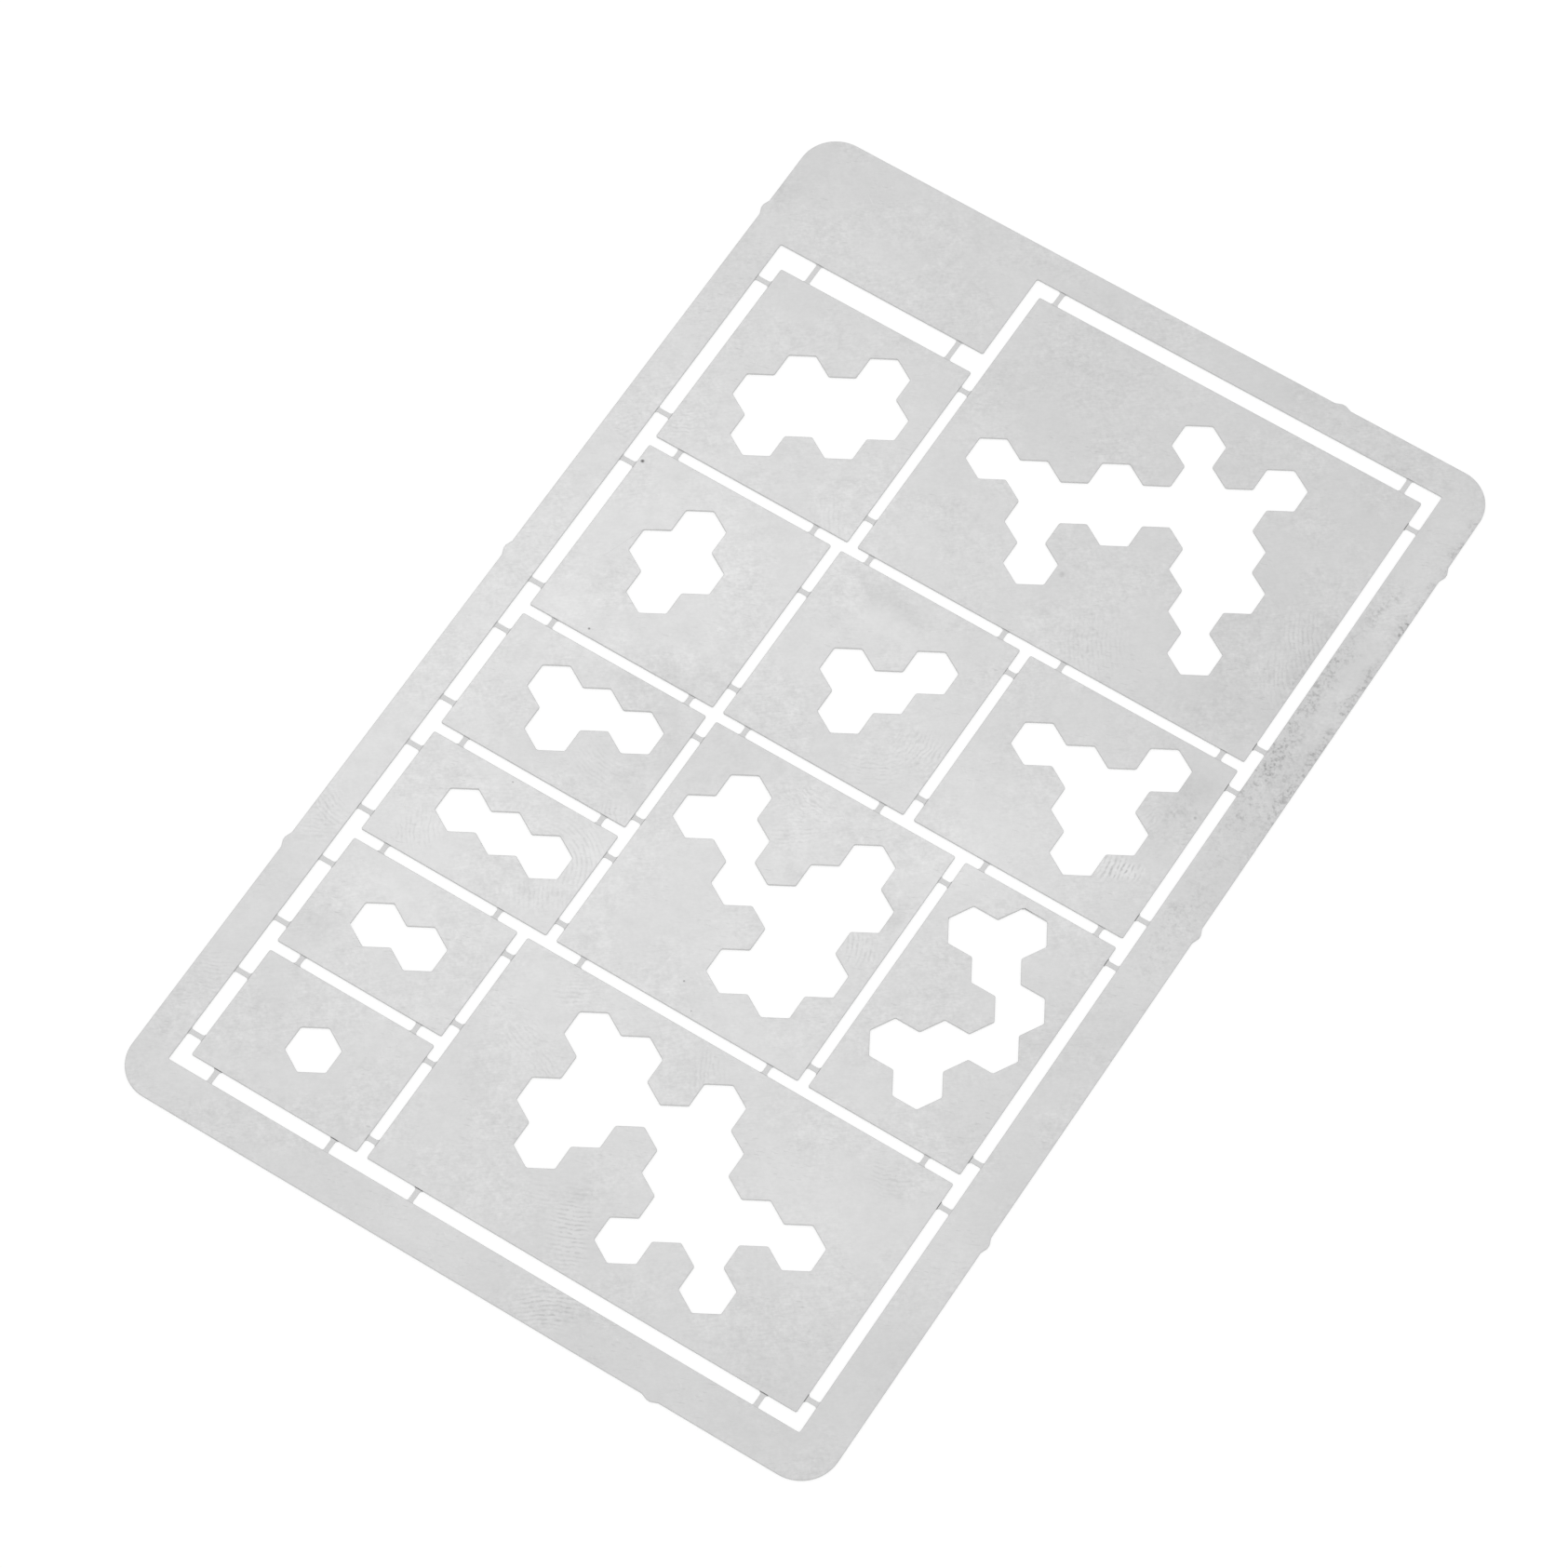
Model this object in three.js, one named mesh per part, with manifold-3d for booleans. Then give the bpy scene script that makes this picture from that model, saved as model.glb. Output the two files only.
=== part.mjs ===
// A camouflage stencil for painting scale models: one thin steel sheet, etched through into a carrier frame
// and twelve stencil panels. A patch of hexagon cells is cut out of each panel, and half-etched tabs hold
// the panels to the frame and to each other until they are cut free.
// Millimetres. The sheet lies flat on z = 0, with +X across it and +Y along it towards its top edge, and the
// origin is at the middle of its underside. Inside the group, the sheet's top left corner is at x = y = 0.
import * as THREE from "three";
import { mergeVertices } from "three/addons/utils/BufferGeometryUtils.js";
import Module from "manifold-3d";

// Sheet
const SHEET_THICKNESS = 0.2;
const SHEET_CORNER_RADIUS = 3.5;

// Borders of the carrier frame, from the sheet's edge to the window
const BORDER_LEFT = 3.3;
const BORDER_RIGHT = 3.95;
const BORDER_TOP = 3.15;
const BORDER_BOTTOM = 3.95;

// Slots between the window and the panels, and between the panels
const SLOT_LEFT = 1.4;
const SLOT_RIGHT = 1.15;
const SLOT_TOP = 1.5;
const SLOT_BOTTOM = 1.35;
const PANEL_GAP = 1;

// Slots round the blank block that fills the window's top left corner
const BLOCK_SLOT_RIGHT = 1.15;
const BLOCK_SLOT_BOTTOM = 2.15;

// Etching leaves each outer corner of a panel, and each corner of the window, a little round
const ETCHED_CORNER_RADIUS = 0.15;

// One hexagon cell, across its flats
const CELL_FLATS = 4.1;

// Tabs, etched away from above to part of the sheet's thickness
const TAB_WIDTH = 0.45;
const TAB_THICKNESS = 0.1;
const TAB_FILLET = 0.2;
const TAB_CLEARANCE = 0.05;

// Nibs on the outer edges, left where the sheet was broken out of a larger one
const NIB_FOOT = 1.6;
const NIB_TIP = 0.35;
const NIB_HEIGHT = 0.25;
const END_NIB_FROM_RIGHT = 15.7;

// Straight steps in a sheet corner and in the small round corners
const SHEET_CORNER_STEPS = 14;
const ETCHED_CORNER_STEPS = 3;

// The panels: the rims of metal round the patch, and a picture of the patch's cells. Each row of a picture
// is a row of cells from the top down, and neighbours in a row are two letters apart. In a turned patch the
// rows of the picture run down the panel, the left one first.
const PANELS = {
  left_panel_1: {
    rim: { left: 3.25, right: 2, top: 2.3, bottom: 2.45 },
    cells: [
      "....o.",
      ".o.o.o",
      "o.o.o.",
      ".o....",
    ],
  },
  right_panel_1: {
    rim: { left: 3.1, right: 6.8, top: 3.05, bottom: 4.3 },
    cells: [
      ".......o...o.",
      "........o.o..",
      ".....o.o.o.o.",
      "o.o.o.o...o.o",
      "...o.......o.",
      "....o.......o",
    ],
  },
  left_panel_2: {
    rim: { left: 4.2, right: 6.2, top: 2.6, bottom: 4.3 },
    cells: [
      ".o.",
      "o.o",
      ".o.",
    ],
  },
  middle_panel_1: {
    rim: { left: 4.6, right: 3.2, top: 3.6, bottom: 3.3 },
    cells: [
      "...o",
      "o.o.",
      ".o..",
    ],
  },
  right_panel_2: {
    rim: { left: 3, right: 3.2, top: 0.95, bottom: 2.4 },
    cells: [
      ".....o",
      "o.o.o.",
      "...o.o",
      "....o.",
    ],
  },
  left_panel_3: {
    rim: { left: 4.2, right: 2.1, top: 2.15, bottom: 2.15 },
    cells: [
      "o.o.o",
      ".o...",
    ],
  },
  left_panel_4: {
    rim: { left: 4.2, right: 2.1, top: 2.6, bottom: 3.65 },
    cells: ["o.o.o"],
  },
  middle_panel_2: {
    rim: { left: 1.75, right: 1.6, top: 2.4, bottom: 3.25 },
    cells: [
      ".o.....o.",
      "o.o...o.o",
      "...o.o.o.",
      "......o.o",
      ".....o.o.",
    ],
  },
  right_panel_3: {
    rim: { left: 1.55, right: 1.35, top: 1.05, bottom: 3.05 },
    turned: true,
    cells: [
      ".o.....o.",
      "o.o...o.o",
      "...o.o...",
    ],
  },
  left_panel_5: {
    rim: { left: 4.25, right: 4, top: 3.35, bottom: 3.35 },
    cells: ["o.o"],
  },
  left_panel_6: {
    rim: { left: 6.2, right: 6.15, top: 3.35, bottom: 3.35 },
    cells: ["o"],
  },
  right_panel_4: {
    rim: { left: 7.4, right: 5.65, top: 2.2, bottom: 2.75 },
    cells: [
      "o.o...o......",
      ".o.o.o.o.....",
      "o.o...o.o.o.o",
      ".o.....o.o...",
      "......o...o..",
    ],
  },
};

// The panels in the window: bands from the top down, columns from the left, and the panels in a column.
// The widest band sets the window's width, and the last panel of a shorter band or column takes up the rest.
const BANDS = [
  [["left_panel_1"], ["right_panel_1"]],
  [["left_panel_2"], ["middle_panel_1"], ["right_panel_2"]],
  [["left_panel_3", "left_panel_4"], ["middle_panel_2"], ["right_panel_3"]],
  [["left_panel_5", "left_panel_6"], ["right_panel_4"]],
];

// The panels below the blank block and on its right
const BLOCK_PANEL = "left_panel_1";
const BLOCK_NEIGHBOUR = "right_panel_1";

// Tabs that the frame keeps: the panel, the side of the window or block, and how far in the tabs are from the
// two ends of the panel's edge there, the left or top end first
const FRAME_TABS = [
  ["left_panel_1", "left", 1.8, 2.4],
  ["left_panel_2", "left", 2.3, 2.15],
  ["left_panel_3", "left", 2.15, 2.15],
  ["left_panel_4", "left", 1.95, 1.75],
  ["left_panel_5", "left", 3, 1.75],
  ["left_panel_6", "left", 2.95, 1.75],
  ["left_panel_1", "block", 2.6, 2.55],
  ["right_panel_1", "top", 1.5, 2.05],
  ["right_panel_1", "right", 2.65, 1.75],
  ["right_panel_2", "right", 1.85, 2.35],
  ["right_panel_3", "right", 1.6, 1.65],
  ["right_panel_4", "right", 2.25, 1.5],
  ["left_panel_6", "bottom", 2.65, 2.2],
  ["right_panel_4", "bottom", 5.15, 3.1],
];

// Tabs that a panel keeps, to the panel below it or on its right: how far in they are from the two ends of
// the edge that both panels share. One pair of panels has only the second tab.
const PANEL_TABS = [
  ["left_panel_1", "left_panel_2", 2.6, 2.1],
  ["right_panel_1", "middle_panel_1", 1.5, 2.05],
  ["right_panel_1", "right_panel_2", 2.75, 2],
  ["left_panel_2", "left_panel_3", 2.6, 2.1],
  ["middle_panel_1", "middle_panel_2", 2.55, 2.05],
  ["right_panel_2", "right_panel_3", 1.5, 2.05],
  ["left_panel_3", "left_panel_4", 2.6, 2.1],
  ["left_panel_4", "left_panel_5", 2.65, 2.4],
  ["middle_panel_2", "right_panel_4", 2.8, 2.7],
  ["right_panel_3", "right_panel_4", null, 3.15],
  ["left_panel_5", "left_panel_6", 2.65, 2.2],
  ["left_panel_1", "right_panel_1", 1.9, 2.95],
  ["left_panel_2", "middle_panel_1", 5.1, 2.55],
  ["middle_panel_1", "right_panel_2", 2.35, 2.1],
  ["left_panel_3", "middle_panel_2", 2.1, 1.25],
  ["left_panel_4", "middle_panel_2", 2, 1.65],
  ["middle_panel_2", "right_panel_3", 2.5, 1.7],
  ["left_panel_5", "right_panel_4", 2.2, 1.65],
  ["left_panel_6", "right_panel_4", 1.45, 1.6],
];

// Nibs on the left and right edges: the panel that each lies level with, and how far down it is from the
// panel's top edge
const SIDE_NIBS = [
  ["right_panel_1", 5.05],
  ["right_panel_2", 15.15],
  ["right_panel_4", 3.2],
];

const wasm = await Module();
wasm.setup();

const point = (x, y) => new THREE.Vector2(x, y);
const direction = (from, to) => to.clone().sub(from).normalize();

// Hexagon cells have two pitches: half of the flats along a row, and half of a side across the rows. Counted
// in these, a cell's corners are whole numbers.
const HALF_FLATS = CELL_FLATS / 2;
const HALF_SIDE = CELL_FLATS / Math.sqrt(3) / 2;
const CELL_CORNERS = [[1, 0], [2, 1], [2, 3], [1, 4], [0, 3], [0, 1]];
const CELL_HEIGHT = 4;
const ROW_PITCH = 3;

// A corner of the patch, from the top left corner of the box round the patch.
function patchPoint(panel, along, across) {
  const a = along * HALF_FLATS;
  const b = across * HALF_SIDE;
  return panel.turned ? point(b, -a) : point(a, -b);
}

// A panel's least width and height: its patch and the rims round it.
function panelSize(name) {
  const { rim, cells } = PANELS[name];
  const across = (cells.length - 1) * ROW_PITCH + CELL_HEIGHT;
  const patch = patchPoint(PANELS[name], cells[0].length + 1, across);
  return { width: rim.left + patch.x + rim.right, height: rim.top - patch.y + rim.bottom };
}

const sum = (values) => values.reduce((total, value) => total + value, 0);
const gaps = (list) => PANEL_GAP * (list.length - 1);
const columnWidth = (column) => Math.max(...column.map((name) => panelSize(name).width));
const columnHeight = (column) => sum(column.map((name) => panelSize(name).height)) + gaps(column);
const bandWidth = (band) => sum(band.map(columnWidth)) + gaps(band);

// Each panel's box on the sheet. The panel below the blank block keeps its own height.
function layOut() {
  const boxes = {};
  const fieldLeft = BORDER_LEFT + SLOT_LEFT;
  const fieldRight = fieldLeft + Math.max(...BANDS.map(bandWidth));
  let bandTop = -BORDER_TOP - SLOT_TOP;
  for (const band of BANDS) {
    const bandBottom = bandTop - Math.max(...band.map(columnHeight));
    let left = fieldLeft;
    for (const column of band) {
      const right = column === band.at(-1) ? fieldRight : left + columnWidth(column);
      let top = bandTop;
      for (const name of column) {
        const bottom = name === column.at(-1) ? bandBottom : top - panelSize(name).height;
        boxes[name] = { left, right, top, bottom };
        top = bottom - PANEL_GAP;
      }
      left = right + PANEL_GAP;
    }
    bandTop = bandBottom - PANEL_GAP;
  }
  const belowBlock = boxes[BLOCK_PANEL];
  belowBlock.top = belowBlock.bottom + panelSize(BLOCK_PANEL).height;
  return boxes;
}

const boxes = layOut();
const allBoxes = Object.values(boxes);
const windowLeft = BORDER_LEFT;
const windowRight = Math.max(...allBoxes.map((box) => box.right)) + SLOT_RIGHT;
const windowTop = -BORDER_TOP;
const windowBottom = Math.min(...allBoxes.map((box) => box.bottom)) - SLOT_BOTTOM;
const blockRight = boxes[BLOCK_NEIGHBOUR].left - BLOCK_SLOT_RIGHT;
const blockBottom = boxes[BLOCK_PANEL].top + BLOCK_SLOT_BOTTOM;
const sheetRight = windowRight + BORDER_RIGHT;
const sheetBottom = windowBottom - BORDER_BOTTOM;

// Points along an arc round a centre, from one place to another, less than half a turn on.
function arc(centre, from, to, steps) {
  const start = from.clone().sub(centre);
  const end = to.clone().sub(centre);
  const radius = start.length();
  const clockwise = start.cross(end) < 0;
  const curve = new THREE.EllipseCurve(
    centre.x, centre.y, radius, radius, start.angle(), end.angle(), clockwise,
  );
  return curve.getPoints(steps);
}

// A tab and a nib stand out from an edge. Their points are counted from a place on the edge: x along it and
// y out from it.
function tab(place, slot) {
  const length = slot - TAB_CLEARANCE;
  const radius = Math.min(TAB_FILLET, length / 2);
  const narrow = TAB_WIDTH / 2;
  const wide = narrow + radius;
  const far = length - radius;
  const fillet = (centre, from, to) => arc(centre, from, to, ETCHED_CORNER_STEPS);
  const points = [
    ...fillet(point(-wide, radius), point(-wide, 0), point(-narrow, radius)),
    ...fillet(point(-wide, far), point(-narrow, far), point(-wide, length)),
    ...fillet(point(wide, far), point(wide, length), point(narrow, far)),
    ...fillet(point(wide, radius), point(narrow, radius), point(wide, 0)),
  ];
  return { place, points };
}

function nib(place) {
  const foot = NIB_FOOT / 2;
  const tip = NIB_TIP / 2;
  const points = [point(-foot, 0), point(-tip, NIB_HEIGHT), point(tip, NIB_HEIGHT), point(foot, 0)];
  return { place, points };
}

// A closed outline that keeps the metal on its left, as points. Each edge is given by its first corner and
// by what stands out from it. The corners are right-angled, and an arc rounds each of them.
function outline(edges, radius, steps) {
  return edges.flatMap(({ corner, bumps = [] }, i) => {
    const arriving = direction(edges.at(i - 1).corner, corner);
    const leaving = direction(corner, edges[(i + 1) % edges.length].corner);
    const out = point(leaving.y, -leaving.x);
    const from = corner.clone().addScaledVector(arriving, -radius);
    const to = corner.clone().addScaledVector(leaving, radius);
    const centre = from.clone().addScaledVector(leaving, radius);
    const inOrder = bumps.toSorted((a, b) => a.place.dot(leaving) - b.place.dot(leaving));
    const bumpPoints = inOrder.flatMap(({ place, points }) =>
      points.map(({ x, y }) => place.clone().addScaledVector(leaving, x).addScaledVector(out, y)),
    );
    return [...arc(centre, from, to, steps), ...bumpPoints];
  });
}

const etchedOutline = (edges) => outline(edges, ETCHED_CORNER_RADIUS, ETCHED_CORNER_STEPS);
const withoutBumps = (edges) => edges.map(({ corner }) => ({ corner }));

// Two places along an edge, set in from its ends, or one where the other is left out.
function tabPlaces(start, end, fromStart, fromEnd) {
  const along = Math.sign(end - start);
  const places = [];
  if (fromStart !== null) places.push(start + along * fromStart);
  if (fromEnd !== null) places.push(end - along * fromEnd);
  return places;
}

// The tabs on a level side of the window or block, and on an upright side.
function levelTabs(side, y, slot) {
  return FRAME_TABS.filter((entry) => entry[1] === side).flatMap(([name, , fromStart, fromEnd]) => {
    const { left, right } = boxes[name];
    return tabPlaces(left, right, fromStart, fromEnd).map((x) => tab(point(x, y), slot));
  });
}

function uprightTabs(side, x, slot) {
  return FRAME_TABS.filter((entry) => entry[1] === side).flatMap(([name, , fromStart, fromEnd]) => {
    const { top, bottom } = boxes[name];
    return tabPlaces(top, bottom, fromStart, fromEnd).map((y) => tab(point(x, y), slot));
  });
}

// The tabs that a panel keeps on its bottom edge and on its right edge.
function tabsBelow(name) {
  const box = boxes[name];
  return PANEL_TABS.flatMap(([keeper, neighbour, fromStart, fromEnd]) => {
    const other = boxes[neighbour];
    if (keeper !== name || other.top > box.bottom) return [];
    const start = Math.max(box.left, other.left);
    const end = Math.min(box.right, other.right);
    const places = tabPlaces(start, end, fromStart, fromEnd);
    return places.map((x) => tab(point(x, box.bottom), PANEL_GAP));
  });
}

function tabsOnRight(name) {
  const box = boxes[name];
  return PANEL_TABS.flatMap(([keeper, neighbour, fromStart, fromEnd]) => {
    const other = boxes[neighbour];
    if (keeper !== name || other.left < box.right) return [];
    const start = Math.min(box.top, other.top);
    const end = Math.max(box.bottom, other.bottom);
    const places = tabPlaces(start, end, fromStart, fromEnd);
    return places.map((y) => tab(point(box.right, y), PANEL_GAP));
  });
}

// The patch's outline, with its box's top left corner at the given place: the sides of cells that no other
// cell shares, end to end.
function patchOutline(panel, place) {
  const sides = new Map();
  panel.cells.forEach((row, rowNumber) => {
    [...row].forEach((letter, column) => {
      if (letter !== "o") return;
      const keys = CELL_CORNERS.map(([x, y]) => `${x + column},${y + rowNumber * ROW_PITCH}`);
      keys.forEach((from, i) => {
        const to = keys[(i + 1) % keys.length];
        sides.set(`${from} ${to}`, [from, to]);
      });
    });
  });
  const outer = [...sides.values()].filter(([from, to]) => !sides.has(`${to} ${from}`));
  const following = new Map(outer);
  const first = outer[0][0];
  const points = [];
  let key = first;
  do {
    const [along, across] = key.split(",").map(Number);
    points.push(patchPoint(panel, along, across).add(place));
    key = following.get(key);
  } while (key !== first);
  return points;
}

// A flat layer with a hole through it, between two heights, as a solid that can be joined.
function layer(outside, hole, bottom, top) {
  const shape = new THREE.Shape(outside);
  shape.holes.push(new THREE.Path(hole));
  const geometry = new THREE.ExtrudeGeometry(shape, { depth: top - bottom, bevelEnabled: false });
  geometry.translate(0, 0, bottom);
  geometry.deleteAttribute("normal");
  geometry.deleteAttribute("uv");
  const merged = mergeVertices(geometry);
  const triVerts = Uint32Array.from(merged.index.array);
  const vertProperties = merged.attributes.position.array;
  return new wasm.Manifold(new wasm.Mesh({ numProp: 3, vertProperties, triVerts }));
}

// A mesh of two layers. The lower one, up to the tabs' thickness, has the tabs.
function etchedPiece(name, lower, upper) {
  const lowerLayer = layer(lower.outside, lower.hole, 0, TAB_THICKNESS);
  const upperLayer = layer(upper.outside, upper.hole, TAB_THICKNESS, SHEET_THICKNESS);
  const joined = lowerLayer.add(upperLayer).asOriginal().simplify();
  const { vertProperties, triVerts } = joined.getMesh();
  const geometry = new THREE.BufferGeometry();
  geometry.setAttribute("position", new THREE.BufferAttribute(vertProperties, 3));
  geometry.setIndex(new THREE.BufferAttribute(triVerts, 1));
  geometry.computeVertexNormals();
  const steel = new THREE.MeshStandardMaterial({ color: 0xd4d5d6, metalness: 0.9, roughness: 0.4 });
  const piece = new THREE.Mesh(geometry, steel);
  piece.name = name;
  return piece;
}

// The carrier frame: the sheet's outline with its nibs, round a window that takes the panels.
function carrierFrame() {
  const sideNibs = (x) => SIDE_NIBS.map(([name, down]) => nib(point(x, boxes[name].top - down)));
  const endNib = (y) => [nib(point(sheetRight - END_NIB_FROM_RIGHT, y))];
  const sheetEdges = [
    { corner: point(0, 0), bumps: sideNibs(0) },
    { corner: point(0, sheetBottom), bumps: endNib(sheetBottom) },
    { corner: point(sheetRight, sheetBottom), bumps: sideNibs(sheetRight) },
    { corner: point(sheetRight, 0), bumps: endNib(0) },
  ];
  const windowEdges = [
    { corner: point(windowLeft, blockBottom), bumps: levelTabs("block", blockBottom, BLOCK_SLOT_BOTTOM) },
    { corner: point(blockRight, blockBottom) },
    { corner: point(blockRight, windowTop), bumps: levelTabs("top", windowTop, SLOT_TOP) },
    { corner: point(windowRight, windowTop), bumps: uprightTabs("right", windowRight, SLOT_RIGHT) },
    { corner: point(windowRight, windowBottom), bumps: levelTabs("bottom", windowBottom, SLOT_BOTTOM) },
    { corner: point(windowLeft, windowBottom), bumps: uprightTabs("left", windowLeft, SLOT_LEFT) },
  ];
  const outside = outline(sheetEdges, SHEET_CORNER_RADIUS, SHEET_CORNER_STEPS);
  return etchedPiece(
    "carrier_frame",
    { outside, hole: etchedOutline(windowEdges) },
    { outside, hole: etchedOutline(withoutBumps(windowEdges)) },
  );
}

// A stencil panel: a rectangle with the patch cut out of it, and the tabs that it keeps.
function stencilPanel(name) {
  const { left, right, top, bottom } = boxes[name];
  const { rim } = PANELS[name];
  const edges = [
    { corner: point(left, top) },
    { corner: point(left, bottom), bumps: tabsBelow(name) },
    { corner: point(right, bottom), bumps: tabsOnRight(name) },
    { corner: point(right, top) },
  ];
  const hole = patchOutline(PANELS[name], point(left + rim.left, top - rim.top));
  return etchedPiece(
    name,
    { outside: etchedOutline(edges), hole },
    { outside: etchedOutline(withoutBumps(edges)), hole },
  );
}

const stencil = new THREE.Group();
stencil.add(carrierFrame());
stencil.add(...Object.keys(PANELS).map(stencilPanel));
stencil.position.set(-sheetRight / 2, -sheetBottom / 2, 0);

export default stencil;
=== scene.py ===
"""Camouflage stencil: an etched steel sheet of twelve panels held in a carrier frame by tabs."""
import math

import bmesh
import bpy
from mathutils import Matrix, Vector


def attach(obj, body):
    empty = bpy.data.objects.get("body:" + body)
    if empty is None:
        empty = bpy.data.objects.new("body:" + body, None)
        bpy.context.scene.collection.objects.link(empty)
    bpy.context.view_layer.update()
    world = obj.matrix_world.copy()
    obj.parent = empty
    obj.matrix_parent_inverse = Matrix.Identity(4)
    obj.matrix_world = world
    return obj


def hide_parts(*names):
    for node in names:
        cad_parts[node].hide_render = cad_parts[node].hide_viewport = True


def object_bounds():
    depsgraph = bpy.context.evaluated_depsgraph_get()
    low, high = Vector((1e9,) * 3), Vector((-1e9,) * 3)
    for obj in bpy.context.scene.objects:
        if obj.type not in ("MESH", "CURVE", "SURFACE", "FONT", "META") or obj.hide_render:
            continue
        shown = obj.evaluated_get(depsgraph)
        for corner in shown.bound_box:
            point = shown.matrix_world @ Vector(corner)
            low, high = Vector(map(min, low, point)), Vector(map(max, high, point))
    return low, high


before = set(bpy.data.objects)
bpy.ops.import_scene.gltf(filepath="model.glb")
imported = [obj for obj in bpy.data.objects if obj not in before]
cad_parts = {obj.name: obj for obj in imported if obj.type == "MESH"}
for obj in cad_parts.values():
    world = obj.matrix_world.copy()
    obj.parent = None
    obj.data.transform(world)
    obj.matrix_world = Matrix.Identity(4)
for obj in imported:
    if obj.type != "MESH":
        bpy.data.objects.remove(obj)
cad_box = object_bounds()

MM = 0.001

# Heights in the sheet, which lies on its underside
UNDERSIDE = cad_box[0].z
TOP_FACE = cad_box[1].z
TAB_FACE = (UNDERSIDE + TOP_FACE) / 2

# Etched edges
CELL_CORNER_TURN = math.radians(60)
CELL_CORNER_SETBACK = 0.12 * MM
CELL_CORNER_STEPS = 3
TOP_RIM_WIDTH = 0.05 * MM
SMALL_RIM_WIDTH = 0.025 * MM
RIM_STEPS = 2
SHADING_ANGLE = math.radians(15)

# The far end of each tab, and how much of the clearance there the plate takes up
TAB_END_WIDTH = 0.85 * MM
TAB_END_REACH = 0.045 * MM
SIDEWAYS = [Vector((1, 0, 0)), Vector((-1, 0, 0)), Vector((0, 1, 0)), Vector((0, -1, 0))]

# Working limits for copies of the solids
WELD = 0.001 * MM
SAME_HEIGHT = 0.001 * MM
SAME_LENGTH = 0.01 * MM
NEARLY_ONE = 0.999
LEVEL_SLOPE = 0.5
FLAT_ANGLE = math.radians(0.5)
ANGLE_SLACK = math.radians(5)

# Steel colours, as linear light
ROLLED_STEEL = (0.70, 0.70, 0.70)
ETCHED_STEEL = (0.58, 0.58, 0.58)
TAB_STEEL = (0.72, 0.72, 0.72)

# The finish is laid out in millimetres. A noise is given by the size of its clouds and its detail, a fade by
# the readings where it starts and ends, and strokes by a middle, a length and width, and a turn in degrees.
NOISE_MIDDLE = 0.5
QUARTER_TURN = 90

# A wave texture at scale 1 runs through this many radians in a unit of length
WAVE_RATE = 20

# Sockets of a Mix node that blends colours
MIX_FACTOR = 0
MIX_COLOURS = (6, 7)
MIX_RESULT = 2

# Rolled face: faint clouds, and a mottle, speckle and slanting grain that are busier in some places
CLOUDS = (9.0, 3.0)
CLOUD_CHANGE = 0.13
MOTTLE = (1.2, 2.0)
MOTTLE_CHANGE = 0.12
SPECKLE = (0.32, 2.0)
SPECKLE_CHANGE = 0.19
GRAIN_STROKES = ((0, 0), (1.2, 0.12), 40)
GRAIN = (1.0, 2.0)
GRAIN_CHANGE = 0.10
BUSY_PLACES = (7.0, 2.0)
BUSY_FADE = (0.38, 0.62)
CALM_SHARE = 0.5
BUSY_SHARE = 0.9

# Steel that acid has cut: the slopes and heights that tell it, and its grainy crust
WALL_FADE = (0.99, 0.75)
TAB_HEIGHT_FADE = (0.75 * TOP_FACE / MM, 0.65 * TOP_FACE / MM)
TAB_SLOPE_FADE = (0.5, 0.9)
CRUST = (0.12, 2.0)
ETCHED_TONE = 0.85
ETCHED_CRUST = 0.3
TAB_TONE = 0.9
TAB_CRUST = 0.2

# Roughness of the rolled face, and what each kind of place adds to it
FACE_ROUGHNESS = 0.29
ROUGH_PLACES = (1.6, 3.0)
ROUGH_CHANGE = 0.06
STAIN_ROUGHNESS = 0.10
WALL_ROUGHNESS = 0.15
TAB_ROUGHNESS = 0.12

# Fine relief
RELIEF = (0.25, 3.0)
RELIEF_SHARE = 0.4
BUMP_STRENGTH = 0.12
BUMP_DISTANCE = 0.01 * MM

# Marks of use, and the bands of painted sheen and painted shade, lie where the slope says that a face looks
# up. Most are
# in soft patches: a patch is full as far out as its core, and noise pushes the places about, so that its
# border is uneven.
UPPER_FADE = (0.2, 0.6)
PATCH_CORE = 0.2
SWAY_SCALE = 0.35
SWAY_DETAIL = 2.0
SWAY_REACH = (3.0, 3.0, 0.0)

# Scuffs: short dark and light strokes that gather here and there
SCUFF_GROUPS = (5.0, 2.0)
SCUFF_GROUP_FADE = (0.42, 0.68)
STROKE_NOISE = (1.0, 1.0)
DARK_STROKES = ((0, 0), (0.8, 0.16), 20)
DARK_STROKE_FADE = (0.60, 0.78)
DARK_STROKE_CHANGE = 0.12
LIGHT_STROKES = ((3, 5), (0.7, 0.18), -35)
LIGHT_STROKE_FADE = (0.62, 0.80)
LIGHT_STROKE_CHANGE = 0.06

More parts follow.
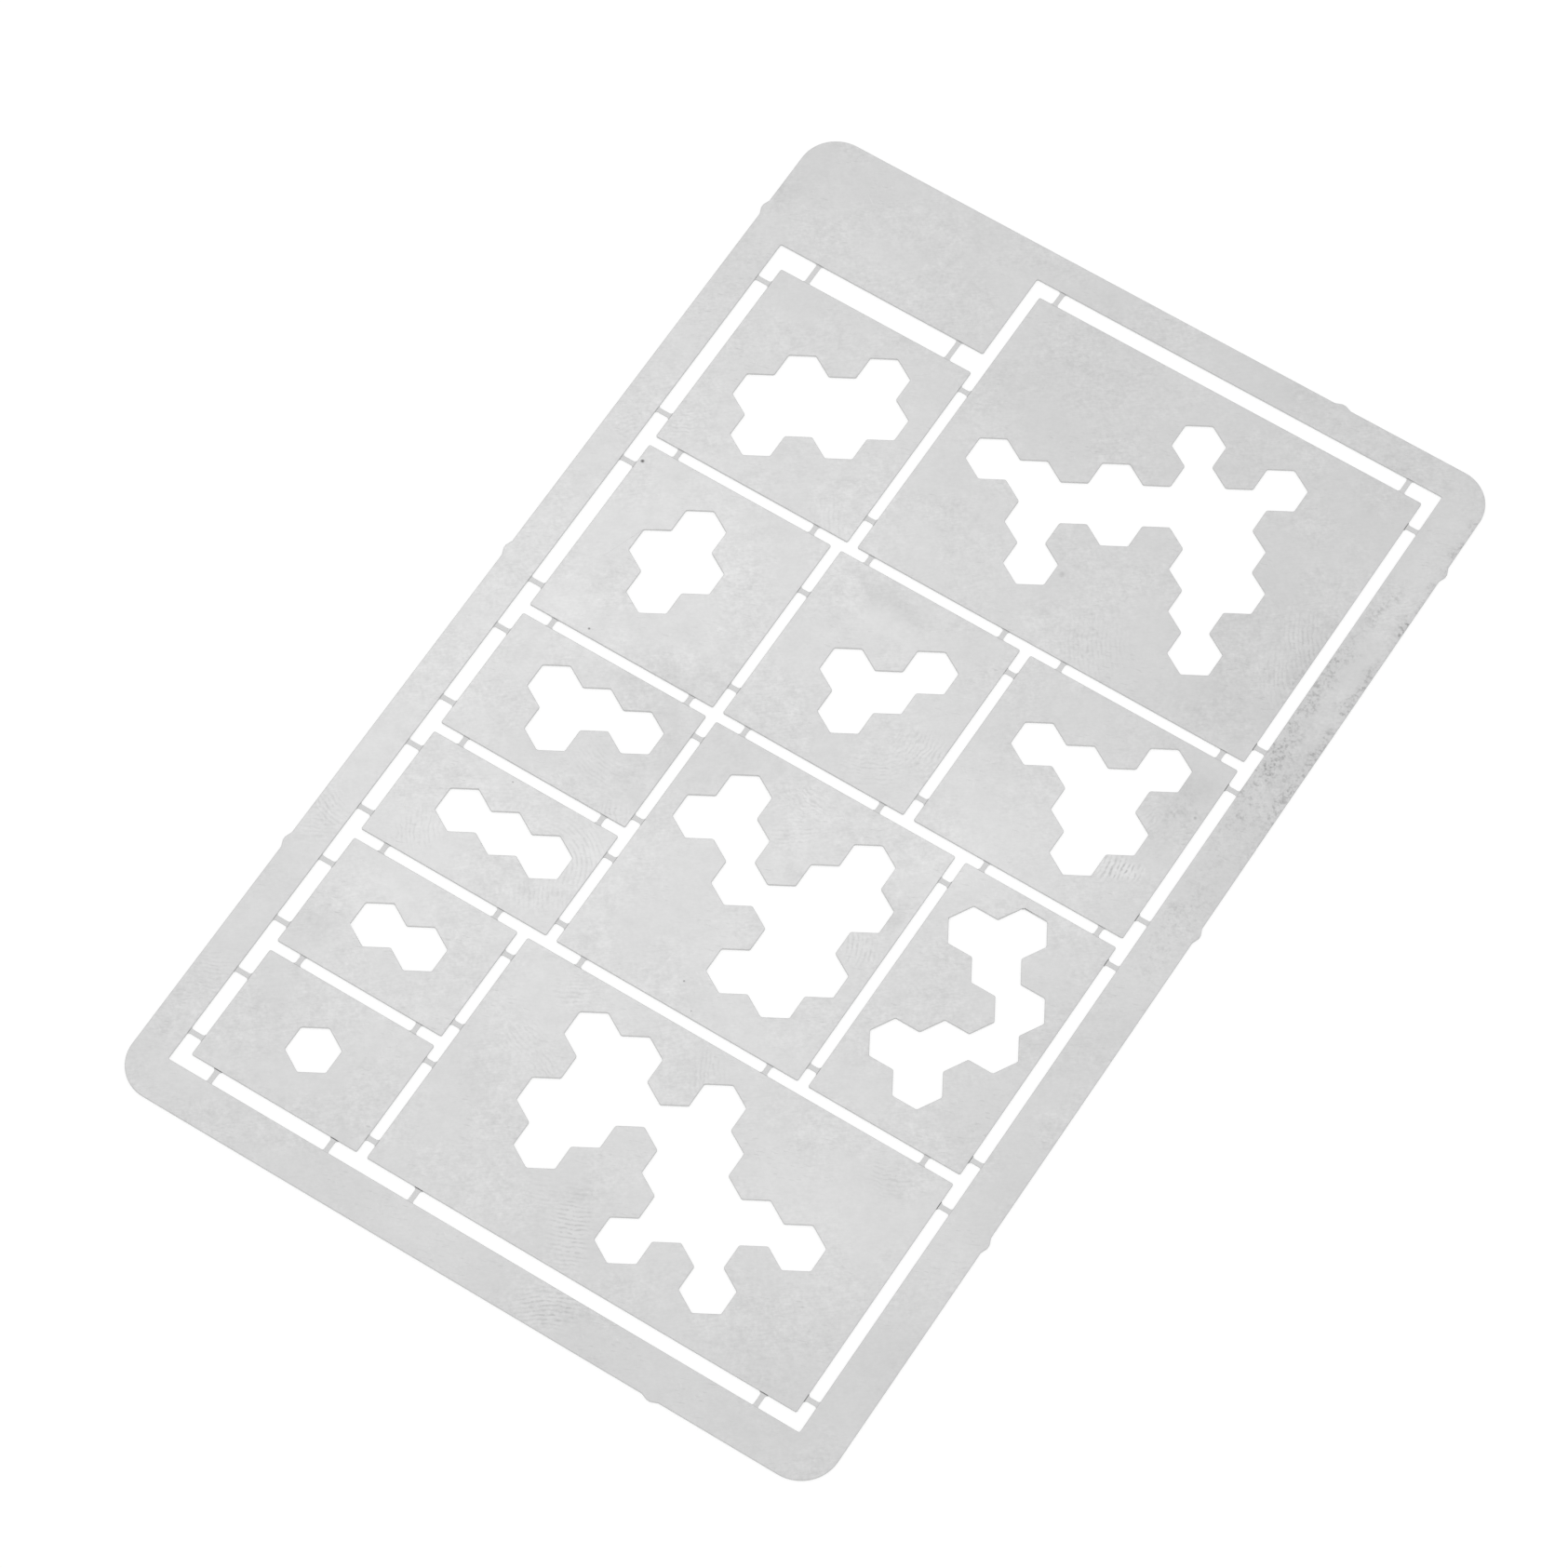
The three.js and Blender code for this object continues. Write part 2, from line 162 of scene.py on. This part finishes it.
# Rubs: fine dark ridges, with the face a little lighter between them and gaps along them. Each row has a
# patch's middle, its half length along the ridges and half width across them, the ridges' lie in degrees from
# +X, the radius that they bend with, their strength and how far from regular they are.
RIDGE_SPACING = 0.40
RIDGE_DARKNESS = 0.09
RIDGE_FADE = (0.35, 0.9)
RIDGE_LIFT = 0.3
RIDGE_DETAIL = 2.0
RIDGE_DETAIL_SCALE = 1.2
RIDGE_GAPS = (0.45, 2.0)
RIDGE_GAP_FADE = (0.30, 0.62)
RUBS = [
    ((-13.2, -17.0), (5.6, 3.2), -41, -4.0, 1.2, 2),
    ((-13.6, -22.0), (2.6, 4.6), -58, 12, 0.9, 4),
    ((-25.6, -22.2), (2.4, 3.8), -58, 9, 0.9, 6),
    ((5.4, -46.2), (2.6, 5.4), 24, 14, 2.0, 3),
    ((1.4, -45.2), (2.2, 3.2), 20, 9, 0.7, 5),
    ((-6.2, -27.8), (3.0, 2.6), 32, 10, 0.9, 5),
    ((-7.6, -33.6), (3.4, 2.2), -16, 12, 0.8, 5),
    ((0.7, -5.8), (3.4, 1.8), 32, 16, 0.9, 5),
    ((0.6, -2.6), (4.0, 2.4), -10, 7, 1.0, 7),
    ((11.3, -12.0), (3.0, 2.6), 112, 5, 1.3, 3),
    ((-16.1, -9.2), (4.2, 3.0), -8, 6, 0.8, 6),
    ((-13.1, -12.4), (2.2, 3.2), -58, 8, 0.9, 6),
    ((5.9, 6.8), (2.6, 3.6), 88, 11, 1.2, 6),
    ((3.6, 3.4), (4.2, 2.8), 32, 9, 1.0, 7),
    ((25.8, 6.3), (1.8, 2.8), 98, 20, 3.8, 4),
    ((25.0, 10.6), (2.4, 2.6), 70, 9, 0.9, 7),
    ((-16.0, 12.2), (3.4, 2.4), 20, 8, 0.6, 6),
    ((-12.7, 21.9), (3.2, 3.2), -58, 14, 0.6, 4),
    ((12.6, 23.1), (4.4, 4.2), -58, 18, 0.8, 5),
    ((27.7, 33.6), (4.6, 2.4), -58, 16, 1.2, 4),
    ((27.7, 29.4), (4.2, 2.8), -58, 12, 1.0, 5),
    ((-33.0, -24.5), (2.8, 2.0), -18, 6, 1.2, 4),
    ((-32.9, -26.8), (2.6, 2.0), 25, 7, 0.9, 5),
    ((-32.6, -42.5), (2.6, 3.6), 25, 10, 0.8, 5),
    ((7.6, -52.6), (4.4, 2.8), 30, -9, 2.0, 4),
    ((-28.4, 22.6), (2.2, 2.4), 32, 6, 1.1, 6),
    ((-32.4, 20.4), (1.8, 2.4), 60, 8, 0.9, 6),
    ((24.7, -28.2), (3.2, 2.2), 20, 10, 1.1, 6),
    ((7.0, -28.3), (3.0, 2.0), -58, 12, 0.9, 5),
    ((24.4, -23.8), (2.4, 1.2), 10, 9, 0.9, 6),
    ((-4.4, -35.2), (3.0, 2.0), -20, 10, 0.9, 6),
]

# Smears, and broad bands of painted sheen and painted shade: the middle, half length and half width, turn in
# degrees, and the change of tone.
SMEARS_AND_SHEEN = [
    ((-3.5, 17.6), (6.0, 1.5), -4, -0.065),
    ((-4.0, 15.2), (6.0, 1.4), -3, 0.045),
    ((-27.6, -34.0), (2.9, 2.2), 30, -0.052),
    ((-27.5, 2.4), (4.2, 4.0), 0, 0.042),
    ((-16.0, 1.0), (5.5, 2.4), 0, -0.027),
    ((-3.0, 43.0), (10.0, 8.0), 0, -0.033),
    ((25.0, 24.5), (5.0, 5.0), 0, -0.045),
    ((7.5, 22.0), (3.4, 2.2), 0, 0.030),
    ((27.5, 16.2), (3.0, 2.6), 0, -0.050),
    ((12.0, -8.0), (1.4, 2.4), 0, -0.070),
    ((-33.8, 47.0), (1.4, 3.0), 0, -0.050),
    ((4.0, -43.6), (1.8, 1.0), 24, -0.045),
    ((-8.5, -38.5), (2.4, 2.8), 0, -0.038),
    ((25.0, -28.6), (3.6, 2.4), 0, -0.040),
    ((8.5, -52.4), (4.6, 2.4), 20, -0.050),
    ((-22.0, 46.0), (9.0, 4.5), 0, 0.018),
    ((28.9, 31.0), (1.6, 10.0), 0, -0.040),
    ((11.2, 24.2), (1.4, 0.7), 32, -0.050),
    # These five broad rows are painted sheen and painted shade, not smears: lighter and darker bands that
    # stand for how the light falls.
    ((-13.0, -3.0), (22.0, 14.0), 32, -0.070),
    ((19.0, 3.0), (16.0, 13.0), 32, 0.060),
    ((22.0, -35.0), (18.0, 14.0), 32, 0.055),
    ((32.0, 50.0), (8.0, 7.0), 0, 0.030),
    ((-27.0, -30.0), (7.0, 5.0), 0, 0.035),
    ((32.8, 42.0), (3.0, 9.0), 0, 0.050),
    ((32.8, 1.0), (3.0, 9.0), 0, 0.045),
    ((31.4, 39.0), (1.4, 2.6), 0, -0.040),
]

# Stains: a thin veil with dark rust-like flecks, in blotches. Each row has the middle, the half sizes along X
# and Y, and the strength.
STAIN_DARKNESS = 0.27
VEIL_SHARE = 0.16
FLECK_SHARE = 0.92
FLECKS = (0.34, 1.0)
FLECK_FADE = (0.46, 0.72)
FINE_FLECKS = (0.2, 0.0)
FINE_FLECK_FADE = (0.5, 0.8)
FINE_FLECK_SHARE = 0.5
BLOTCHES = (1.8, 2.0)
BLOTCH_FADE = (0.15, 0.62)
STAINS = [
    ((31.2, 27.0), (1.8, 20.0), 1.0),
    ((34.5, 29.0), (1.2, 24.0), 1.1),
    ((32.7, 19.0), (2.8, 9.0), 0.55),
    ((32.6, 5.0), (2.6, 12.0), 0.5),
    ((27.4, 13.0), (3.0, 6.0), 0.4),
    ((29.4, 31.0), (1.2, 9.0), 0.5),
    ((34.5, 50.0), (1.0, 4.0), 0.7),
    ((32.2, 40.2), (0.9, 4.2), 0.9),
    ((34.7, 42.0), (0.7, 10.0), 1.2),
]

# Pits in the face: places, radii and how dark they are.
PITS = [
    ((-29.4, 17.8), 0.26, 0.8),
    ((-24.2, 1.5), 0.16, 0.6),
    ((28.7, 13.7), 0.22, 0.3),
    ((0.8, -22.2), 0.14, 0.5),
    ((2.8, -24.2), 0.12, 0.4),
    ((-21.5, -14.3), 0.12, 0.4),
    ((7.0, 27.7), 0.42, 0.16),
    ((11.9, 24.5), 0.36, 0.09),
]

# The picture's view
VIEW_AZIMUTH = math.radians(32.57)
VIEW_ELEVATION = math.radians(62.26)
VIEW_DISTANCE = 587.0 * MM
VIEW_TARGET = Vector((-2.21, -2.08, 0)) * MM
LENS = 160
SENSOR = 36

# Studio: a glowing floor, a sky that dims towards the horizon, and a light that makes a sheen
FLOOR_DROP = 0.03 * MM
FLOOR_WIDTH = 4
FLOOR_PAINT = (0.5, 0.5, 0.5, 1)
FLOOR_ROUGHNESS = 0.9
FLOOR_GLOW = 0.62
WHITE = (1, 1, 1, 1)
SKY_STRENGTH = 0.865
HORIZON_STRENGTH = 0.42
EVEN_SKY_HEIGHT = 0.6
SHEEN_POINT = Vector((-18, -8, 0)) * MM
SHEEN_DISTANCE = 0.75
SHEEN_SIZE = 0.12
SHEEN_WATTS = 0.038
LEVEL_MIRROR = Vector((-1, -1, 1))


def select_only(thing):
    """Leaves one object selected and active."""
    bpy.ops.object.select_all(action="DESELECT")
    thing.select_set(True)
    bpy.context.view_layer.objects.active = thing


def pick_edges(test):
    """Selects the plate's edges that join two faces and pass the test, and tells if there are any."""
    bpy.ops.mesh.select_mode(type="EDGE")
    bpy.ops.mesh.select_all(action="DESELECT")
    plate = bmesh.from_edit_mesh(bpy.context.object.data)
    picked = [edge for edge in plate.edges if len(edge.link_faces) == 2 and test(edge)]
    for edge in picked:
        edge.select_set(True)
    bmesh.update_edit_mesh(bpy.context.object.data)
    return bool(picked)


def is_level(edge):
    """True for an edge whose ends are at one height."""
    return abs(edge.verts[0].co.z - edge.verts[1].co.z) < SAME_HEIGHT


def is_cell_corner(edge):
    """True for an upright edge where two sides of a hexagon cell meet."""
    return not is_level(edge) and abs(edge.calc_face_angle() - CELL_CORNER_TURN) < ANGLE_SLACK


def is_rim(edge, height):
    """True for an outer edge at this height between a level face and a wall."""
    level = all(abs(vertex.co.z - height) < SAME_HEIGHT for vertex in edge.verts)
    slopes = sorted(abs(face.normal.z) for face in edge.link_faces)
    return level and edge.is_convex and slopes[0] < LEVEL_SLOPE < slopes[1]


def round_edges(test, width, steps):
    """Rounds the edges that pass the test."""
    if pick_edges(test):
        bpy.ops.mesh.bevel(
            offset=width, segments=steps, affect="EDGES", clamp_overlap=False, loop_slide=False
        )


def lengthen_tabs():
    """Moves the far ends of the tabs up to the plates that they hold."""
    bpy.ops.mesh.select_mode(type="FACE")
    for outwards in SIDEWAYS:
        bpy.ops.mesh.select_all(action="DESELECT")
        plate = bmesh.from_edit_mesh(bpy.context.object.data)
        for face in plate.faces:
            if is_tab_end(face, outwards):
                face.select_set(True)
        bmesh.update_edit_mesh(bpy.context.object.data)
        if bpy.context.object.data.total_face_sel:
            bpy.ops.transform.translate(value=outwards * TAB_END_REACH)


def is_tab_end(face, outwards):
    """True for the upright face at the far end of a tab that looks this way."""
    level_edges = [edge.calc_length() for edge in face.edges if is_level(edge)]
    height = max(vertex.co.z for vertex in face.verts)
    wide = bool(level_edges) and abs(max(level_edges) - TAB_END_WIDTH) < SAME_LENGTH
    return wide and abs(height - TAB_FACE) < SAME_HEIGHT and face.normal.dot(outwards) > NEARLY_ONE


def etched_plate(name):
    """A plate like the solid of that name, with the round corners and soft rims that etching leaves."""
    select_only(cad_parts[name])
    bpy.ops.object.duplicate()
    plate = bpy.context.object
    plate.name = name + "_plate"
    bpy.ops.object.mode_set(mode="EDIT")
    bpy.ops.mesh.select_all(action="SELECT")
    bpy.ops.mesh.remove_doubles(threshold=WELD)
    bpy.ops.mesh.dissolve_limited(angle_limit=FLAT_ANGLE)
    lengthen_tabs()
    round_edges(is_cell_corner, CELL_CORNER_SETBACK, CELL_CORNER_STEPS)
    round_edges(lambda edge: is_rim(edge, TOP_FACE), TOP_RIM_WIDTH, RIM_STEPS)
    round_edges(lambda edge: is_rim(edge, UNDERSIDE), SMALL_RIM_WIDTH, RIM_STEPS)
    round_edges(lambda edge: is_rim(edge, TAB_FACE), SMALL_RIM_WIDTH, RIM_STEPS)
    bpy.ops.object.mode_set(mode="OBJECT")
    bpy.ops.object.shade_smooth_by_angle(angle=SHADING_ANGLE)
    return plate


class Reading:
    """A node's output socket. Arithmetic on readings and numbers adds Math nodes."""

    def __init__(self, tree, socket=None):
        self.tree = tree
        self.socket = socket

    def node(self, kind, settings=None, sockets=None, out=0):
        """Adds a node with its settings and its sockets' values or links, and reads one of its outputs."""
        node = self.tree.nodes.new(kind)
        for setting, value in (settings or {}).items():
            setattr(node, setting, value)
        for socket, value in (sockets or {}).items():
            if isinstance(value, Reading):
                self.tree.links.new(value.socket, node.inputs[socket])
            else:
                node.inputs[socket].default_value = value
        return Reading(self.tree, node.outputs[out] if node.outputs else None)

    def math(self, operation, first, second):
        """Works out one operation on two readings, or on a reading and a number."""
        return self.node("ShaderNodeMath", {"operation": operation}, {0: first, 1: second})

    def __add__(self, other):
        return self.math("ADD", self, other)

    def __radd__(self, other):
        return self.math("ADD", other, self)

    def __sub__(self, other):
        return self.math("SUBTRACT", self, other)

    def __rsub__(self, other):
        return self.math("SUBTRACT", other, self)

    def __mul__(self, other):
        return self.math("MULTIPLY", self, other)

    def __rmul__(self, other):
        return self.math("MULTIPLY", other, self)

    def fade(self, start, end):
        """0 at start, 1 at end and a smooth change between."""
        sockets = {"Value": self, "From Min": start, "From Max": end}
        return self.node("ShaderNodeMapRange", {"interpolation_type": "SMOOTHSTEP"}, sockets)

    def noise(self, size, detail):
        """Cloudy noise whose clouds are about this size, from 0 to 1."""
        sockets = {"Vector": self, "Scale": 1 / size, "Detail": detail}
        return self.node("ShaderNodeTexNoise", {}, sockets)

    def swing(self, size, detail):
        """The same noise, up and down from 0."""
        return self.noise(size, detail) - NOISE_MIDDLE

    def part(self, axis):
        """The X, Y or Z of a vector."""
        return self.node("ShaderNodeSeparateXYZ", {}, {"Vector": self}, axis)

    def moved(self, middle, reach=(1, 1), turn=0):
        """Places counted from a middle, along a turned length and width, in units of the reach."""
        sockets = {
            "Vector": self,
            "Location": (*middle, 0),
            "Rotation": (0, 0, math.radians(turn)),
            "Scale": (*reach, 1),
        }
        return self.node("ShaderNodeMapping", {"vector_type": "TEXTURE"}, sockets)

    def patch(self, middle, reach, turn=0):
        """1 in the middle of a soft oval patch and 0 outside it."""
        away = self.moved(middle, reach, turn)
        nearness = self.node("ShaderNodeTexGradient", {"gradient_type": "SPHERICAL"}, {"Vector": away}, "Fac")
        return nearness.fade(0, 1 - PATCH_CORE)

    def blend(self, first, second):
        """A colour that goes from the first to the second as this reading goes from 0 to 1."""
        sockets = {MIX_FACTOR: self, MIX_COLOURS[0]: first, MIX_COLOURS[1]: second}
        return self.node("ShaderNodeMix", {"data_type": "RGBA"}, sockets, MIX_RESULT)

    def tinted(self, colour):
        """A colour scaled by this reading."""
        return self.node("ShaderNodeVectorMath", {"operation": "SCALE"}, {0: colour, "Scale": self})


def swayed(place):
    """Places pushed about by noise, so that patches laid out on them have uneven borders."""
    noise = {"Vector": place, "Scale": SWAY_SCALE, "Detail": SWAY_DETAIL}
    drift = place.node("ShaderNodeTexNoise", {}, noise, "Color")
    middle = (NOISE_MIDDLE, NOISE_MIDDLE, NOISE_MIDDLE)
    sway = place.node("ShaderNodeVectorMath", {"operation": "SUBTRACT"}, {0: drift, 1: middle})
    push = {0: sway, 1: SWAY_REACH, 2: place}
    return place.node("ShaderNodeVectorMath", {"operation": "MULTIPLY_ADD"}, push)


def rubs(place, uneven):
    """How dark the ridged rubs make the face."""
    gaps = place.noise(*RIDGE_GAPS).fade(*RIDGE_GAP_FADE)
    darkness = 0
    for middle, reach, lie, bend, strength, disorder in RUBS:
        across = math.radians(lie + QUARTER_TURN)
        centre = (middle[0] + bend * math.cos(across), middle[1] + bend * math.sin(across))
        rings = place.node(
            "ShaderNodeTexWave",
            {"wave_type": "RINGS", "rings_direction": "Z"},
            {
                "Vector": place.moved(centre),
                "Scale": math.tau / WAVE_RATE / RIDGE_SPACING,
                "Distortion": disorder,
                "Detail": RIDGE_DETAIL,
                "Detail Scale": RIDGE_DETAIL_SCALE,
            },
            "Fac",
        )
        ridges = rings.fade(*RIDGE_FADE) * gaps - RIDGE_LIFT
        darkness = darkness + uneven.patch(middle, reach, lie) * ridges * (RIDGE_DARKNESS * strength)
    return darkness


def smears_and_sheen(uneven):
    """The change of tone that smears make, with the lighter and darker bands of painted sheen and painted
    shade.
    """
    tone = 0
    for middle, reach, turn, change in SMEARS_AND_SHEEN:
        tone = tone + uneven.patch(middle, reach, turn) * change
    return tone


def stains(place, uneven):
    """How stained the face is: 0 where it is clean, and about 1 in the darkest flecks."""
    area = 0
    for middle, reach, strength in STAINS:
        area = area + uneven.patch(middle, reach) * strength
    flecks = place.noise(*FLECKS).fade(*FLECK_FADE)
    flecks = flecks + place.noise(*FINE_FLECKS).fade(*FINE_FLECK_FADE) * FINE_FLECK_SHARE
    blotches = place.noise(*BLOTCHES).fade(*BLOTCH_FADE)
    return area * (flecks * FLECK_SHARE + VEIL_SHARE) * blotches


def pits(place):
    """How dark the pits are, from 0 to 1."""
    depth = 0
    for middle, radius, darkness in PITS:
        depth = depth + place.patch(middle, (radius, radius)) * darkness
    return depth


def scuffs(place):
    """The change of tone that short strokes make, where they gather."""
    gathered = place.noise(*SCUFF_GROUPS).fade(*SCUFF_GROUP_FADE)
    dark = place.moved(*DARK_STROKES).noise(*STROKE_NOISE).fade(*DARK_STROKE_FADE)
    light = place.moved(*LIGHT_STROKES).noise(*STROKE_NOISE).fade(*LIGHT_STROKE_FADE)
    return gathered * (light * LIGHT_STROKE_CHANGE - dark * DARK_STROKE_CHANGE)


def rolled_tone(place):
    """The faint clouds, mottle, speckle and slanting grain of the rolled sheet."""
    clouds = place.swing(*CLOUDS)
    mottle = place.swing(*MOTTLE)
    speckle = place.swing(*SPECKLE)
    grain = place.moved(*GRAIN_STROKES).swing(*GRAIN)
    busy = place.noise(*BUSY_PLACES).fade(*BUSY_FADE)
    fine = mottle * MOTTLE_CHANGE + speckle * SPECKLE_CHANGE + grain * GRAIN_CHANGE
    return clouds * CLOUD_CHANGE + fine * (CALM_SHARE + busy * BUSY_SHARE)


def etched_steel():
    """Satin rolled stainless steel, duller where acid has cut it."""
    material = bpy.data.materials.new("etched_steel")
    material.use_nodes = True
    tree = material.node_tree
    tree.nodes.clear()
    finish = Reading(tree)
    metres = finish.node("ShaderNodeTexCoord", {}, {}, "Object")
    place = finish.node("ShaderNodeVectorMath", {"operation": "SCALE"}, {0: metres, "Scale": 1 / MM})
    slope = finish.node("ShaderNodeTexCoord", {}, {}, "Normal").part("Z")

    # What acid has cut: everything that isn't level, and the level tops of the tabs
    walls = slope.node("ShaderNodeMath", {"operation": "ABSOLUTE"}, {0: slope}).fade(*WALL_FADE)
    in_tab_reach = place.part("Z").fade(*TAB_HEIGHT_FADE)
    tab_tops = in_tab_reach * slope.fade(*TAB_SLOPE_FADE)

    # Marks of use, and the bands of painted sheen and painted shade, on the upper face only
    upper = slope.fade(*UPPER_FADE)
    uneven = swayed(place)
    stain = stains(place, uneven) * upper
    pit = pits(place) * upper
    marks_and_sheen = (scuffs(place) + smears_and_sheen(uneven) - rubs(place, uneven)) * upper

    tone = 1 + rolled_tone(place) + marks_and_sheen
    rolled = (tone - stain * STAIN_DARKNESS - pit).tinted(ROLLED_STEEL)
    crust = place.noise(*CRUST)
    wall_skin = (ETCHED_TONE + crust * ETCHED_CRUST).tinted(ETCHED_STEEL)
    tab_skin = (TAB_TONE + crust * TAB_CRUST).tinted(TAB_STEEL)
    colour = walls.blend(tab_tops.blend(rolled, tab_skin), wall_skin)

    roughness = FACE_ROUGHNESS + place.swing(*ROUGH_PLACES) * ROUGH_CHANGE
    roughness = roughness + stain * STAIN_ROUGHNESS + walls * WALL_ROUGHNESS + tab_tops * TAB_ROUGHNESS
    relief = place.swing(*RELIEF) * RELIEF_SHARE + crust * walls - pit
    bump = {"Strength": BUMP_STRENGTH, "Distance": BUMP_DISTANCE, "Height": relief}
    normal = finish.node("ShaderNodeBump", {}, bump)
    steel = finish.node(
        "ShaderNodeBsdfPrincipled",
        {},
        {"Base Color": colour, "Metallic": 1.0, "Roughness": roughness, "Normal": normal},
    )
    finish.node("ShaderNodeOutputMaterial", {}, {"Surface": steel})
    return material


def floor_finish():
    """Even white that glows, like a light table, and doesn't shine."""
    material = bpy.data.materials.new("white_floor")
    material.use_nodes = True
    material.node_tree.nodes.clear()
    finish = Reading(material.node_tree)
    surface = finish.node(
        "ShaderNodeBsdfPrincipled",
        {},
        {
            "Base Color": FLOOR_PAINT,
            "Roughness": FLOOR_ROUGHNESS,
            "Specular IOR Level": 0.0,
            "Emission Color": WHITE,
            "Emission Strength": FLOOR_GLOW,
        },
    )
    finish.node("ShaderNodeOutputMaterial", {}, {"Surface": surface})
    return material


def towards(azimuth, elevation):
    """The direction from the sheet to a viewer at this azimuth and elevation."""
    level = math.cos(elevation)
    return Vector((math.sin(azimuth) * level, -math.cos(azimuth) * level, math.sin(elevation)))


def facing(place, target):
    """The turn that points a light or camera at the target."""
    return (target - place).to_track_quat("-Z", "Y").to_euler()


def lay_floor():
    """A wide white floor just under the sheet."""
    bpy.ops.object.select_all(action="DESELECT")
    bpy.ops.mesh.primitive_plane_add(size=FLOOR_WIDTH, location=(0, 0, UNDERSIDE - FLOOR_DROP))
    floor = bpy.context.object
    floor.name = "white_floor"
    bpy.ops.object.transform_apply(location=True)
    floor.data.materials.append(floor_finish())


def place_camera():
    """The camera of the picture's view."""
    eye = VIEW_TARGET + VIEW_DISTANCE * towards(VIEW_AZIMUTH, VIEW_ELEVATION)
    bpy.ops.object.camera_add(location=eye, rotation=facing(eye, VIEW_TARGET))
    camera = bpy.context.object
    camera.data.lens = LENS
    camera.data.sensor_width = SENSOR
    bpy.context.scene.camera = camera
    return eye


def add_light(name, place, target, size, watts):
    """A square soft light."""
    bpy.ops.object.light_add(type="AREA", location=place, rotation=facing(place, target))
    light = bpy.context.object
    light.name = name
    light.data.size = size
    light.data.energy = watts


def light_studio(eye):
    """A white sky that dims at the horizon, and a light whose broad sheen lies on the left of the sheet."""
    world = bpy.data.worlds.new("white_sky")
    world.use_nodes = True
    world.node_tree.nodes.clear()
    sky = Reading(world.node_tree)
    height = sky.node("ShaderNodeTexCoord", {}, {}, "Generated").part("Z")
    strength = HORIZON_STRENGTH + height.fade(0, EVEN_SKY_HEIGHT) * (SKY_STRENGTH - HORIZON_STRENGTH)
    background = sky.node("ShaderNodeBackground", {}, {"Color": WHITE, "Strength": strength})
    sky.node("ShaderNodeOutputWorld", {}, {"Surface": background})
    bpy.context.scene.world = world
    bpy.context.scene.view_settings.view_transform = "Standard"

    mirrored = (eye - SHEEN_POINT).normalized() * LEVEL_MIRROR
    sheen_place = SHEEN_POINT + mirrored * SHEEN_DISTANCE
    add_light("sheen_light", sheen_place, SHEEN_POINT, SHEEN_SIZE, SHEEN_WATTS)


eye_place = place_camera()
light_studio(eye_place)
lay_floor()
steel_finish = etched_steel()
for node_name in list(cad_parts):
    etched = etched_plate(node_name)
    etched.data.materials.clear()
    etched.data.materials.append(steel_finish)
    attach(etched, node_name)
    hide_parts(node_name)
